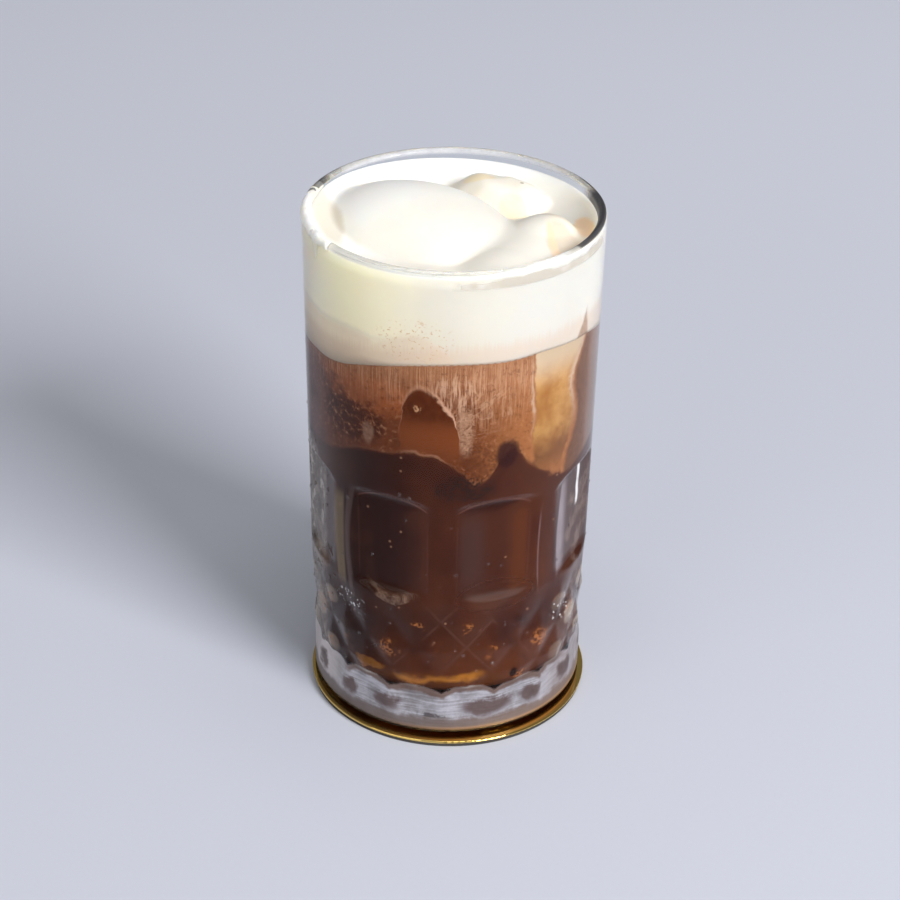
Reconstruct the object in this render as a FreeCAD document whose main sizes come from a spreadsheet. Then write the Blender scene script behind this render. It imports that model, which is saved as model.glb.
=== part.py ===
"""Root beer float: a pressed glass tumbler of root beer under a cream head, with three
scoops of vanilla ice cream let into the head, standing on a thin gilt coaster.

Millimetres, +Z up. The origin is on the glass's axis, on the surface that the coaster rests on.
"""

import FreeCAD, Part
import math
import os

from FreeCAD import Placement, Rotation, Vector

# Driving dimensions: alias, value, meaning. The sheet's cells hold the plain numbers.
SIZES = [
    ("coaster_radius", 39.5, "gilt disc, outside radius"),
    ("coaster_metal", 0.8, "gilt disc, thickness"),
    ("coaster_edge", 0.3, "rounding of the disc's top and bottom edge"),
    ("coaster_shift_x", 0.4, "the glass stands a little off the coaster's centre"),
    ("coaster_shift_y", -2.2, "the same, front to back"),
    ("pad_thickness", 1.0, "soft pad under the disc"),
    ("pad_inset", 0.35, "how far the pad's edge lies inside the disc's edge"),
    ("glass_height", 143.6, "foot to rim"),
    ("rim_radius", 40.0, "outside radius at the rim"),
    ("foot_radius", 38.3, "outside radius at the foot"),
    ("rim_wall", 2.4, "wall thickness at the rim"),
    ("rim_round", 1.15, "fire-polished rounding of the rim's two edges"),
    ("heel_round", 1.8, "rounding where the wall meets the foot"),
    ("floor_thickness", 12.0, "solid glass under the drink"),
    ("floor_wall", 4.7, "how much smaller than the foot the inside is at the floor"),
    ("floor_corner", 7.0, "rounding between the floor and the inside wall"),
    ("foot_ring", 7.3, "width of the ring that the foot stands on, its heel included"),
    ("kick_depth", 0.8, "depth of the hollow under the foot"),
    ("turn_angle", 20.0, "turn of the pressed pattern about the axis"),
    ("flute_count", 8, "arched flutes round the wall"),
    ("flute_low", 44.2, "lowest point of a flute above the foot"),
    ("flute_high", 76.6, "highest point of a flute above the foot"),
    ("flute_depth", 2.25, "depth of a flute in its middle"),
    ("flute_end_round", 3.9, "radius that closes a flute at both ends"),
    ("flute_hollow", 150.0, "radius of a flute's hollow across the wall"),
    ("diamond_count", 16, "diamonds in one row"),
    ("diamond_rows", 4, "full rows of diamonds"),
    ("diamond_low", 2.0, "lowest point of the diamond band above the foot"),
    ("band_overlap", 0.8, "how far the diamond band runs up past the flutes' lower ends"),
    ("diamond_cut", 1.25, "depth of the grooves between diamonds"),
    ("beer_drop", 60.6, "mean level of the dark root beer, below the rim"),
    ("beer_tilt", 4.5, "how far that level rises towards one side"),
    ("beer_ripple", 1.6, "waves of that level"),
    ("swirl_drop", 32.3, "mean level of the creamy layer, below the rim"),
    ("swirl_tilt", 6.4, "how far that level rises towards one side"),
    ("swirl_ripple", 0.5, "waves of that level"),
    ("head_drop", 8.0, "cream head's middle, below the rim"),
    ("head_climb", 6.2, "how far the cream climbs up the wall"),
    ("head_tilt", 1.2, "how much lower the cream stands at the back right"),
    ("main_length", 27.6, "front scoop, half length"),
    ("main_width", 20.0, "front scoop, half width"),
    ("main_height", 11.0, "front scoop, half height"),
    ("main_top", 2.2, "front scoop's top above the rim"),
    ("main_x", -8.5, "front scoop's middle"),
    ("main_y", 2.0, "front scoop's middle"),
    ("main_turn", -38.0, "front scoop's turn about the axis"),
    ("rear_length", 15.5, "rear scoop, half length"),
    ("rear_width", 9.0, "rear scoop, half width"),
    ("rear_height", 8.0, "rear scoop, half height"),
    ("rear_top", -1.4, "rear scoop's top above the rim"),
    ("rear_inset", 13.41323, "how far the rear scoop's middle lies inside the rim's bore"),
    ("rear_bearing", 60.255119, "the side on which it lies, about the axis"),
    ("rear_turn", -26.0, "rear scoop's turn about the axis"),
    ("side_length", 8.5, "side scoop, half length"),
    ("side_width", 8.0, "side scoop, half width"),
    ("side_height", 8.0, "side scoop, half height"),
    ("side_top", -0.4, "side scoop's top above the rim"),
    ("side_inset", 12.97786, "how far the side scoop's middle lies inside the rim's bore"),
    ("side_bearing", -12.907409, "the side on which it lies, about the axis"),
    ("side_turn", 30.0, "side scoop's turn about the axis"),
]

# Directions of the tilted levels, in degrees round the axis from -Y towards +X.
BEER_RISES_TOWARDS = -15.0
SWIRL_RISES_TOWARDS = 20.0
HEAD_FALLS_TOWARDS = 145.0

doc = FreeCAD.newDocument("root_beer_float")
sheet = doc.addObject("Spreadsheet::Sheet", "sizes")
for row, (alias, value, meaning) in enumerate(SIZES, start=1):
    sheet.set("A%d" % row, meaning)
    sheet.set("B%d" % row, str(value))
    sheet.setAlias("B%d" % row, alias)
doc.recompute()


class Size:
    """A length that is both a number and the expression that keeps it bound to the sheet."""

    def __init__(self, value, text):
        self.value = value
        self.text = text

    def _join(self, other, sign, value):
        text = other.text if isinstance(other, Size) else repr(other)
        return Size(value, "(%s %s %s)" % (self.text, sign, text))

    def __add__(self, other):
        return self._join(other, "+", self.value + number(other))

    def __sub__(self, other):
        return self._join(other, "-", self.value - number(other))

    def __mul__(self, other):
        return self._join(other, "*", self.value * number(other))

    def __truediv__(self, other):
        return self._join(other, "/", self.value / number(other))

    def at_most(self, other):
        return Size(min(self.value, other.value), "min(%s; %s)" % (self.text, other.text))


def number(size):
    return size.value if isinstance(size, Size) else size


def size(alias):
    return Size(float(sheet.get(alias)), "sizes." + alias)


def bind(thing, path, length):
    """Ties a property of a document object to the sheet."""
    thing.setExpression(path, length.text)


LIFT = size("pad_thickness") + size("coaster_metal")
RIM = LIFT + size("glass_height")
FLOOR_RADIUS = size("foot_radius") - size("floor_wall")
BORE_RIM_RADIUS = size("rim_radius") - size("rim_wall")
RIM_ROUND = size("rim_round").at_most(size("rim_wall") * 0.48)


def place(thing, x=None, y=None, z=None, turn=None):
    """Puts an object at bound coordinates, turned about +Z by a bound angle."""
    thing.Placement = Placement(Vector(), Rotation(Vector(0, 0, 1), number(turn or 0)))
    for path, length in (("Base.x", x), ("Base.y", y), ("Base.z", z), ("Rotation.Angle", turn)):
        if length is not None:
            bind(thing, "Placement." + path, length)


def origin_part(body, role):
    return next(f for f in body.Origin.OriginFeatures if f.Role == role)


def new_body(label):
    body = doc.addObject("PartDesign::Body", label)
    body.Label = label
    return body


def outline(body, name, corners):
    """A closed sketch in the body's XZ plane, with straight sides between corners.

    A corner is (x, z); None stands for a place on the axis or on the base line."""
    sketch = body.newObject("Sketcher::SketchObject", name)
    sketch.AttachmentSupport = (origin_part(body, "XZ_Plane"), [""])
    sketch.MapMode = "FlatFace"
    points = [Vector(number(x or 0), number(z or 0), 0) for x, z in corners]
    for start, end in zip(points, points[1:] + points[:1]):
        sketch.addGeometry(Part.LineSegment(start, end), False)
    import Sketcher

    last = len(points) - 1
    for i in range(len(points)):
        sketch.addConstraint(Sketcher.Constraint("Coincident", i, 2, (i + 1) % (last + 1), 1))
    for i, (x, z) in enumerate(corners):
        pin_point(sketch, i, 1, x, z)
    return sketch


def pin_point(sketch, geometry, vertex, x, z):
    """Holds one sketch point at bound distances from the origin."""
    import Sketcher

    for kind, length, axis in (("DistanceX", x, -2), ("DistanceY", z, -1)):
        if length is None:
            sketch.addConstraint(Sketcher.Constraint("PointOnObject", geometry, vertex, axis))
            continue
        index = sketch.addConstraint(
            Sketcher.Constraint(kind, -1, 1, geometry, vertex, length.value)
        )
        bind(sketch, "Constraints[%d]" % index, length)


def revolve(body, sketch, kind, axis="V_Axis"):
    feature = body.newObject("PartDesign::" + kind, sketch.Name + "_turned")
    feature.Profile = sketch
    feature.ReferenceAxis = (sketch, [axis])
    feature.Angle = 360
    sketch.Visibility = False
    doc.recompute()
    return feature


def ring_edge(shape, radius, height):
    """The name of the circular edge about the axis with this radius and height."""
    for index, edge in enumerate(shape.Edges, start=1):
        curve = edge.Curve
        if isinstance(curve, Part.Circle) and abs(curve.Radius - radius) < 1e-4:
            if abs(curve.Center.z - height) < 1e-4:
                return "Edge%d" % index
    raise RuntimeError("no ring edge of radius %g at height %g" % (radius, height))


def round_ring(body, radius, height, rounding):
    """Rounds one ring edge of the body's newest feature."""
    base = body.Tip
    fillet = body.newObject("PartDesign::Fillet", "ring_round")
    fillet.Base = (base, [ring_edge(base.Shape, number(radius), number(height))])
    bind(fillet, "Radius", rounding)
    doc.recompute()
    return fillet


# The coaster: a polished metal disc with softened edges, on a soft pad that is a little smaller.
def make_disc(label, radius, low, thickness, rounding=None):
    body = new_body(label)
    corners = [(None, None), (radius, None), (radius, thickness), (None, thickness)]
    revolve(body, outline(body, label + "_section", corners), "Revolution")
    if rounding is not None:
        round_ring(body, radius, thickness, rounding)
        round_ring(body, radius, 0.0, rounding)
    place(body, size("coaster_shift_x"), size("coaster_shift_y"), low)
    return body


coaster_pad = make_disc(
    "coaster_pad",
    size("coaster_radius") - size("pad_inset"),
    None,
    size("pad_thickness"),
)
coaster = make_disc(
    "coaster",
    size("coaster_radius"),
    size("pad_thickness"),
    size("coaster_metal"),
    size("coaster_edge"),
)


# The glass: one turned section, eight ground flutes, and a band of diamonds round its lower part.
def wall_radius(height):
    """Outside radius of the plain wall at a height above the foot."""
    slope = (size("rim_radius") - size("foot_radius")) / size("glass_height")
    return size("foot_radius") + slope * height


def make_tumbler():
    body = new_body("tumbler")
    corners = [
        (None, size("kick_depth")),
        (size("foot_radius") - size("foot_ring"), None),
        (size("foot_radius"), None),
        (size("rim_radius"), size("glass_height")),
        (BORE_RIM_RADIUS, size("glass_height")),
        (FLOOR_RADIUS, size("floor_thickness")),
        (None, size("floor_thickness")),
    ]
    revolve(body, outline(body, "wall_section", corners), "Revolution")
    round_ring(body, FLOOR_RADIUS, size("floor_thickness"), size("floor_corner"))
    round_ring(body, size("rim_radius"), size("glass_height"), RIM_ROUND)
    round_ring(body, BORE_RIM_RADIUS, size("glass_height"), RIM_ROUND)
    round_ring(body, size("foot_radius"), 0.0, size("heel_round"))
    cut_flutes(body)
    return body


def cut_flutes(body):
    """Grinds one flute with a wheel that has rounded shoulders, and repeats it round the wall."""
    import Sketcher

    middle = (size("flute_low") + size("flute_high")) / 2
    floor = wall_radius(middle) - size("flute_depth")
    shoulder = size("flute_end_round")
    depth = number(size("flute_depth"))
    # A shoulder of this radius leaves the wall this far beyond the flute's straight floor.
    reach = math.sqrt(2 * number(shoulder) * depth - depth**2)
    overshoot = shoulder - Size(
        reach,
        "sqrt(2 * sizes.flute_end_round * sizes.flute_depth - sizes.flute_depth ^ 2)",
    )
    top = size("flute_high") + overshoot
    bottom = size("flute_low") - overshoot
    axle = floor + size("flute_hollow")
    sketch = body.newObject("Sketcher::SketchObject", "flute_wheel")
    sketch.AttachmentSupport = (origin_part(body, "XZ_Plane"), [""])
    sketch.MapMode = "FlatFace"

    def at(x, z):
        return Vector(number(x), number(z), 0)

    low_turn, high_turn = bottom + shoulder, top - shoulder
    knee = floor + shoulder
    lines = [
        (at(floor, low_turn), at(floor, high_turn)),
        (at(knee, top), at(axle, top)),
        (at(axle, top), at(axle, bottom)),
        (at(axle, bottom), at(knee, bottom)),
    ]
    for start, end in lines:
        sketch.addGeometry(Part.LineSegment(start, end), False)
    for centre_height, first, last in (
        (high_turn, math.pi / 2, math.pi),
        (low_turn, math.pi, 1.5 * math.pi),
    ):
        circle = Part.Circle(at(knee, centre_height), Vector(0, 0, 1), number(shoulder))
        sketch.addGeometry(Part.ArcOfCircle(circle, first, last), False)
    sketch.addGeometry(Part.LineSegment(at(axle, bottom), at(axle, top)), True)
    floor_line, top_line, axle_line, bottom_line, high_arc, low_arc = range(6)
    for first, first_end, second, second_end in (
        (floor_line, 2, high_arc, 2),
        (high_arc, 1, top_line, 1),
        (top_line, 2, axle_line, 1),
        (axle_line, 2, bottom_line, 1),
        (bottom_line, 2, low_arc, 2),
        (low_arc, 1, floor_line, 1),
    ):
        sketch.addConstraint(
            Sketcher.Constraint("Coincident", first, first_end, second, second_end)
        )
    pin_point(sketch, floor_line, 1, floor, low_turn)
    pin_point(sketch, floor_line, 2, floor, high_turn)
    pin_point(sketch, top_line, 1, knee, top)
    pin_point(sketch, axle_line, 1, axle, top)
    pin_point(sketch, axle_line, 2, axle, bottom)
    pin_point(sketch, bottom_line, 2, knee, bottom)
    for arc in (high_arc, low_arc):
        index = sketch.addConstraint(Sketcher.Constraint("Radius", arc, shoulder.value))
        bind(sketch, "Constraints[%d]" % index, shoulder)
    pin_point(sketch, 6, 1, axle, bottom)
    pin_point(sketch, 6, 2, axle, top)
    doc.recompute()
    plain = body.Shape.Volume
    groove = revolve(body, sketch, "Groove", "Axis0")
    if groove.Shape.Volume > plain - 1:
        raise RuntimeError("the flute cuts nothing")
    pattern = body.newObject("PartDesign::PolarPattern", "flutes")
    pattern.Originals = [groove]
    pattern.Axis = (origin_part(body, "Z_Axis"), [""])
    pattern.Angle = 360
    bind(pattern, "Occurrences", size("flute_count"))
    body.Tip = pattern
    doc.recompute()


BAND_HEIGHT = size("flute_low") + size("band_overlap") - size("diamond_low")
DIAMOND_RISE = BAND_HEIGHT / (size("diamond_rows") + 1)
PEAK_SETBACK = 0.05  # a diamond's peak lies this far inside the plain wall


def make_diamond_core():
    """The wall's faceted core inside the diamond band.

    Points lie on rows and columns; every other one is a diamond's peak and the rest are where
    grooves cross. The first and last row lie outside the wall, so the facets run out there."""
    columns = 2 * int(number(size("diamond_count")))
    rows = int(number(size("diamond_rows"))) + 1
    step = 2 * math.pi / columns

    def lattice_point(column, row):
        height = number(size("diamond_low") + DIAMOND_RISE * row)
        radius = number(wall_radius(height))
        if row in (0, rows):
            radius = radius / math.cos(step / 2) + PEAK_SETBACK
        elif (column + row) % 2:
            radius -= PEAK_SETBACK
        else:
            radius -= number(size("diamond_cut"))
        angle = column * step
        return Vector(radius * math.cos(angle), radius * math.sin(angle), height)

    faces = []
    for row in range(rows):
        for column in range(columns):
            a, b = lattice_point(column, row), lattice_point(column + 1, row)
            c, d = lattice_point(column + 1, row + 1), lattice_point(column, row + 1)
            peak_first = (column + row) % 2
            halves = ((a, b, d), (b, c, d)) if peak_first else ((a, b, c), (a, c, d))
            faces += [Part.Face(Part.makePolygon([*half, half[0]])) for half in halves]
    for row in (0, rows):
        ring = [lattice_point(column, row) for column in range(columns)]
        faces.append(Part.Face(Part.makePolygon([*ring, ring[0]])))
    return Part.makeSolid(Part.makeShell(faces))


def make_band_cutter():
    """What the press leaves out of a plain wall over the height of the diamond band."""
    core = doc.addObject("Part::Feature", "diamond_core")
    core.Shape = make_diamond_core()
    ring = doc.addObject("Part::Cylinder", "band_ring")
    bind(ring, "Radius", size("rim_radius") * 1.2)
    bind(ring, "Height", BAND_HEIGHT)
    place(ring, z=size("diamond_low"))
    cutter = doc.addObject("Part::Cut", "band_cutter")
    cutter.Base = ring
    cutter.Tool = core
    return cutter


glass = doc.addObject("Part::Cut", "glass")
glass.Base = make_tumbler()
glass.Tool = make_band_cutter()
place(glass, z=LIFT, turn=size("turn_angle"))


# The contents: the glass's inside, parted by three uneven levels.
def make_inside():
    body = new_body("inside")
    corners = [
        (None, size("floor_thickness")),
        (FLOOR_RADIUS, size("floor_thickness")),
        (BORE_RIM_RADIUS, size("glass_height")),
        (None, size("glass_height")),
    ]
    revolve(body, outline(body, "inside_section", corners), "Revolution")
    round_ring(body, FLOOR_RADIUS, size("floor_thickness"), size("floor_corner"))
    place(body, z=LIFT)
    return body


def make_scoop_room():
    """The room that scoops may take: the upper part of the inside, open above the rim."""
    slope = (BORE_RIM_RADIUS - FLOOR_RADIUS) / (size("glass_height") - size("floor_thickness"))
    room = doc.addObject("Part::Cone", "scoop_room")
    half = size("swirl_drop")
    bind(room, "Radius1", BORE_RIM_RADIUS - slope * half)
    bind(room, "Radius2", BORE_RIM_RADIUS + slope * half)
    bind(room, "Height", half * 2)
    place(room, z=RIM - half)
    return room


def towards(x, y, direction):
    """How far a point lies towards a direction, given in degrees from -Y towards +X."""
    angle = math.radians(direction)
    return x * math.sin(angle) - y * math.cos(angle)


def tilted_level(drop, tilt, ripple, direction):
    """Height of a layer's top at x, y: a tilted plane with gentle waves."""
    reach = number(size("rim_radius"))
    low, slope = number(RIM - size(drop)), number(size(tilt)) / reach
    wave = number(size(ripple))

    def height(x, y):
        waves = math.sin(x / reach * 5.2 + 0.6) + math.cos(y / reach * 6.1 - x / reach * 2.3)
        return low + slope * towards(x, y, direction) + wave * waves

    return height


def head_height(x, y):
    """Height of the cream head: a dish that climbs the wall, lower at the back right."""
    reach = number(BORE_RIM_RADIUS)
    share = min(math.hypot(x, y) / reach, 1.0)
    dish = number(RIM - size("head_drop")) + number(size("head_climb")) * share**5
    return dish - number(size("head_tilt")) * max(0.0, towards(x, y, HEAD_FALLS_TOWARDS) / reach)


def everything_below(name, height):
    """A block whose top follows height(x, y) over the whole inside of the glass."""
    reach = number(size("rim_radius"))
    count = 25
    ticks = [reach * (2 * i / (count - 1) - 1) for i in range(count)]
    grid = [[Vector(x, y, height(x, y)) for y in ticks] for x in ticks]
    surface = Part.BSplineSurface()
    surface.interpolate(grid)
    block = doc.addObject("Part::Feature", name)
    depth = number(size("glass_height") + size("main_height"))
    block.Shape = surface.toShape().extrude(Vector(0, 0, -depth))
    return block


def combine(kind, name, base, tool):
    piece = doc.addObject("Part::" + kind, name)
    piece.Base = base
    piece.Tool = tool
    return piece


def by_the_wall(name):
    """Where the middle of a scoop lies that keeps its distance from the rim's bore."""
    reach = BORE_RIM_RADIUS - size(name + "_inset")
    bearing = math.radians(number(size(name + "_bearing")))
    return (
        Size(reach.value * math.cos(bearing), "%s * cos(sizes.%s_bearing)" % (reach.text, name)),
        Size(reach.value * math.sin(bearing), "%s * sin(sizes.%s_bearing)" % (reach.text, name)),
    )


def make_scoop(name, x, y):
    """An egg-shaped scoop that lies level, with its top at a set height over the rim."""
    scoop = doc.addObject("Part::Ellipsoid", name + "_whole")
    bind(scoop, "Radius1", size(name + "_height"))
    bind(scoop, "Radius2", size(name + "_length"))
    bind(scoop, "Radius3", size(name + "_width"))
    top = RIM + size(name + "_top")
    height = top - size(name + "_height")
    place(scoop, x, y, height, size(name + "_turn"))
    return scoop


inside = make_inside()
below_beer = everything_below(
    "below_beer",
    tilted_level("beer_drop", "beer_tilt", "beer_ripple", BEER_RISES_TOWARDS),
)
below_swirl = everything_below(
    "below_swirl",
    tilted_level("swirl_drop", "swirl_tilt", "swirl_ripple", SWIRL_RISES_TOWARDS),
)
below_head = everything_below("below_head", head_height)

root_beer = combine("Common", "root_beer", inside, below_beer)
up_to_swirl = combine("Common", "up_to_swirl", inside, below_swirl)
creamy_layer = combine("Cut", "creamy_layer", up_to_swirl, below_beer)

scoop_room = make_scoop_room()
main_whole = make_scoop("main", size("main_x"), size("main_y"))
rear_whole = make_scoop("rear", *by_the_wall("rear"))
side_whole = make_scoop("side", *by_the_wall("side"))
scoop_main = combine("Common", "scoop_main", main_whole, scoop_room)
rear_beside_main = combine("Cut", "rear_beside_main", rear_whole, main_whole)
scoop_rear = combine("Common", "scoop_rear", rear_beside_main, scoop_room)
side_beside_main = combine("Cut", "side_beside_main", side_whole, main_whole)
side_beside_both = combine("Cut", "side_beside_both", side_beside_main, rear_whole)
scoop_side = combine("Common", "scoop_side", side_beside_both, scoop_room)

up_to_head = combine("Common", "up_to_head", inside, below_head)
head_slab = combine("Cut", "head_slab", up_to_head, below_swirl)
head_without_main = combine("Cut", "head_without_main", head_slab, main_whole)
head_without_rear = combine("Cut", "head_without_rear", head_without_main, rear_whole)
cream_head = combine("Cut", "cream_head", head_without_rear, side_whole)

doc.recompute()

PIECES = [
    coaster_pad,
    coaster,
    glass,
    root_beer,
    creamy_layer,
    cream_head,
    scoop_main,
    scoop_rear,
    scoop_side,
]

for thing in doc.Objects:
    if "Invalid" in thing.State or "Error" in thing.State:
        raise RuntimeError("%s failed: %s" % (thing.Name, thing.State))
for piece in PIECES:
    if piece.Shape.isNull() or not piece.Shape.isValid() or not piece.Shape.Solids:
        raise RuntimeError("%s has no valid solid" % piece.Label)

os.makedirs("parts", exist_ok=True)
for piece in PIECES:
    piece.Shape.exportStep("parts/%s.step" % piece.Label)
    print(
        "%-14s solids %d  faces %4d  volume %9.1f mm3"
        % (piece.Label, len(piece.Shape.Solids), len(piece.Shape.Faces), piece.Shape.Volume)
    )
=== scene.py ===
"""Root beer float, dressed: pressed glass, the drink in its layers, cream, ice cream, coaster."""

import math
import random

import bmesh
import bpy
from mathutils import Matrix, Vector, noise


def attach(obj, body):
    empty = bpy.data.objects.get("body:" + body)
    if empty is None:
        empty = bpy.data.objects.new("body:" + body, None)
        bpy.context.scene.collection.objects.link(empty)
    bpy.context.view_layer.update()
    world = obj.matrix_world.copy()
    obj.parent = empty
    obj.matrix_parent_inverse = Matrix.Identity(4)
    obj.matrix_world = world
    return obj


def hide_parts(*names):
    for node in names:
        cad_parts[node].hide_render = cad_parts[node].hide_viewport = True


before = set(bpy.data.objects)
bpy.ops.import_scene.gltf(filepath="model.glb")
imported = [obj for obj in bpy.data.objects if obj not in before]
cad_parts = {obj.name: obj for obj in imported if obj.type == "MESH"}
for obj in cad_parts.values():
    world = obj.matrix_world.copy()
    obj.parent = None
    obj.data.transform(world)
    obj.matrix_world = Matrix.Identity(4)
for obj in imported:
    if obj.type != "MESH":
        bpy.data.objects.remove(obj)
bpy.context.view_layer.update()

# The view: a long lens a little over half a metre away, looking down on the rim.
LENS, SENSOR = 90.0, 36.0
LOOK_AT = Vector((0.0, 0.0, 0.0713))
LOOK_DOWN, LEAN, DISTANCE = math.radians(30.8), math.radians(1.0), 0.625

lens = bpy.data.cameras.new("camera")
lens.lens, lens.sensor_width = LENS, SENSOR
lens.clip_start, lens.clip_end = 0.01, 20.0
camera = bpy.data.objects.new("camera", lens)
bpy.context.scene.collection.objects.link(camera)
turn = Matrix.Rotation(math.pi / 2 - LOOK_DOWN, 4, "X") @ Matrix.Rotation(LEAN, 4, "Z")
stand = LOOK_AT + DISTANCE * Vector((0.0, -math.cos(LOOK_DOWN), math.sin(LOOK_DOWN)))
camera.matrix_world = Matrix.Translation(stand) @ turn
bpy.context.scene.camera = camera
bpy.context.scene.view_settings.view_transform = "Standard"


# The coaster: a thin disc of gilt steel, polished to a mirror, with a softened edge and a dark pad
# stuck under it. Both are turned in the frame itself and get their finish here.
class Flow:
    """A value on its way through a material; + - * / and powers add the Math nodes."""

    def __init__(self, tree, socket):
        self.tree, self.socket = tree, socket

    def node(self, kind, settings=None, values=None, out=0):
        return add_node(self.tree, kind, settings, values, out)

    def math(self, operation, *others):
        values = dict(enumerate((self, *others)))
        return self.node("ShaderNodeMath", {"operation": operation}, values)

    def __add__(self, other):
        return self.math("ADD", other)

    def __sub__(self, other):
        return self.math("SUBTRACT", other)

    def __mul__(self, other):
        return self.math("MULTIPLY", other)

    def __truediv__(self, other):
        return self.math("DIVIDE", other)

    def __pow__(self, other):
        return self.math("POWER", other)

    def __rsub__(self, other):
        return self.node("ShaderNodeMath", {"operation": "SUBTRACT"}, {0: other, 1: self})

    __radd__, __rmul__ = __add__, __mul__

    def rise(self, low, high):
        """0 below low, 1 above high, and a soft climb between; high may be under low."""
        settings = {"interpolation_type": "SMOOTHSTEP"}
        return self.node("ShaderNodeMapRange", settings, {0: self, 1: low, 2: high, 3: 0, 4: 1})

    def band(self, low, high, soft):
        """1 between low and high, fading out over soft on both sides."""
        return self.rise(low - soft, low + soft) * self.rise(high + soft, high - soft)


def add_node(tree, kind, settings=None, values=None, out=0):
    """Adds any node: its settings first, then the values or links of its sockets."""
    made = tree.nodes.new(kind)
    for name, setting in (settings or {}).items():
        if name == "stops":
            elements = made.color_ramp.elements
            while len(elements) < len(setting):
                elements.new(0.5)
            for element, (place, level) in zip(elements, setting):
                element.position, element.color = place, (level, level, level, 1)
        elif name == "ramp":
            made.color_ramp.interpolation = setting
        else:
            setattr(made, name, setting)
    for key, value in (values or {}).items():
        socket = made.inputs[key]
        if isinstance(value, Flow):
            tree.links.new(value.socket, socket)
        elif isinstance(value, tuple) and len(value) == 3 and socket.type == "RGBA":
            socket.default_value = (*value, 1)
        else:
            socket.default_value = value
    return Flow(tree, made.outputs[out])


def new_material(name):
    """An empty material: its node tree and a function that closes it with a shader."""
    material = bpy.data.materials.new(name)
    material.use_nodes = True
    tree = material.node_tree
    tree.nodes.clear()

    def close(shader):
        output = tree.nodes.new("ShaderNodeOutputMaterial")
        tree.links.new(shader.socket, output.inputs["Surface"])
        return material

    return tree, close


def surface(tree, **values):
    """A Principled shader; underscores in a socket's name stand for spaces."""
    named = {key.replace("_", " "): value for key, value in values.items()}
    return add_node(tree, "ShaderNodeBsdfPrincipled", {}, named)


def position(tree):
    return add_node(tree, "ShaderNodeTexCoord", out=3)


def grain(tree, where, scale, detail=3.0, rough=0.5, twist=0.0):
    values = {"Vector": where, "Scale": scale, "Detail": detail}
    values.update({"Roughness": rough, "Distortion": twist})
    return add_node(tree, "ShaderNodeTexNoise", {}, values)


def blend(factor, first, second):
    """A colour that goes from first to second as the factor goes from 0 to 1."""
    settings = {"data_type": "RGBA", "clamp_factor": True}
    return factor.node("ShaderNodeMix", settings, {0: factor, 6: first, 7: second}, 2)


def bump(tree, height, distance, strength=1.0):
    values = {"Height": height, "Distance": distance, "Strength": strength}
    return add_node(tree, "ShaderNodeBump", {}, values)


def dress(node, material):
    """Gives a solid of the frame its finish."""
    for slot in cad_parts[node].material_slots:
        slot.material = material


tree, close = new_material("gilt_steel")
where = position(tree)
handled = grain(tree, where, 60.0, 4.0)
gilt = close(
    surface(
        tree,
        Base_Color=blend(handled.rise(0.35, 0.7), (0.80, 0.56, 0.17), (0.74, 0.49, 0.13)),
        Metallic=1.0,
        Roughness=handled.rise(0.3, 0.8) * 0.06 + 0.05,
    )
)
tree, close = new_material("dark_pad")
felt = grain(tree, position(tree), 900.0, 2.0)
pad = close(
    surface(
        tree,
        Base_Color=blend(felt, (0.030, 0.027, 0.025), (0.055, 0.050, 0.046)),
        Roughness=0.8,
        Normal=bump(tree, felt, 0.0001),
    )
)
dress("coaster", gilt)
dress("coaster_pad", pad)


# The glass: a straight tumbler pressed in a mould, with eight arched flutes round its waist and
# four rows of soft diamonds under them. The plunger leaves its inside smooth and its foot thick.
LIFT = 1.8
HEIGHT = 143.6
RIM_RADIUS, FOOT_RADIUS = 40.0, 38.3
BORE_RIM, BORE_FLOOR, FLOOR, FLOOR_CORNER = 37.6, 33.6, 12.0, 7.0
PATTERN_TURN = 20.0
FLUTE_LOW, FLUTE_HIGH, FLUTE_DEPTH, FLUTE_END, FLUTE_HOLLOW = 44.2, 76.6, 2.25, 3.9, 150.0
BAND_LOW, BAND_ROW, BAND_ROWS, BAND_CUT = 2.0, 8.6, 4, 1.25
GLASS_COLUMNS = 352


def wall_radius(height):
    return FOOT_RADIUS + (RIM_RADIUS - FOOT_RADIUS) * height / HEIGHT


def bore_radius(height):
    """Inside radius at a height above the foot, with the floor's rounded corner."""
    plain = BORE_FLOOR + (BORE_RIM - BORE_FLOOR) * (height - FLOOR) / (HEIGHT - FLOOR)
    below = FLOOR + FLOOR_CORNER - height
    if below <= 0:
        return plain
    return plain - FLOOR_CORNER + math.sqrt(max(FLOOR_CORNER**2 - below**2, 0.0))


def soft_more(first, second, soft):
    """The larger of two depths, with the crease between them rounded."""
    gap = first - second
    return 0.5 * (first + second + math.sqrt(gap * gap + soft * soft))


def flute_depth(angle, height):
    """How far the nearest flute lies inside the plain wall; negative between flutes."""
    off = math.radians((angle + 22.5) % 45.0 - 22.5)
    middle = (FLUTE_LOW + FLUTE_HIGH) / 2
    waist = wall_radius(middle) - FLUTE_DEPTH
    axle = waist + FLUTE_HOLLOW
    shoulder = (FLUTE_HIGH - FLUTE_LOW) / 2 - math.sqrt(
        2 * FLUTE_END * FLUTE_DEPTH - FLUTE_DEPTH**2
    )
    beyond = max(abs(height - middle) - shoulder, 0.0)
    if beyond >= FLUTE_END:
        return -5.0
    wheel = FLUTE_HOLLOW - FLUTE_END + math.sqrt(FLUTE_END**2 - beyond**2)
    return wall_radius(height) - (
        axle * math.cos(off) - math.sqrt(wheel**2 - (axle * math.sin(off)) ** 2)
    )


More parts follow.
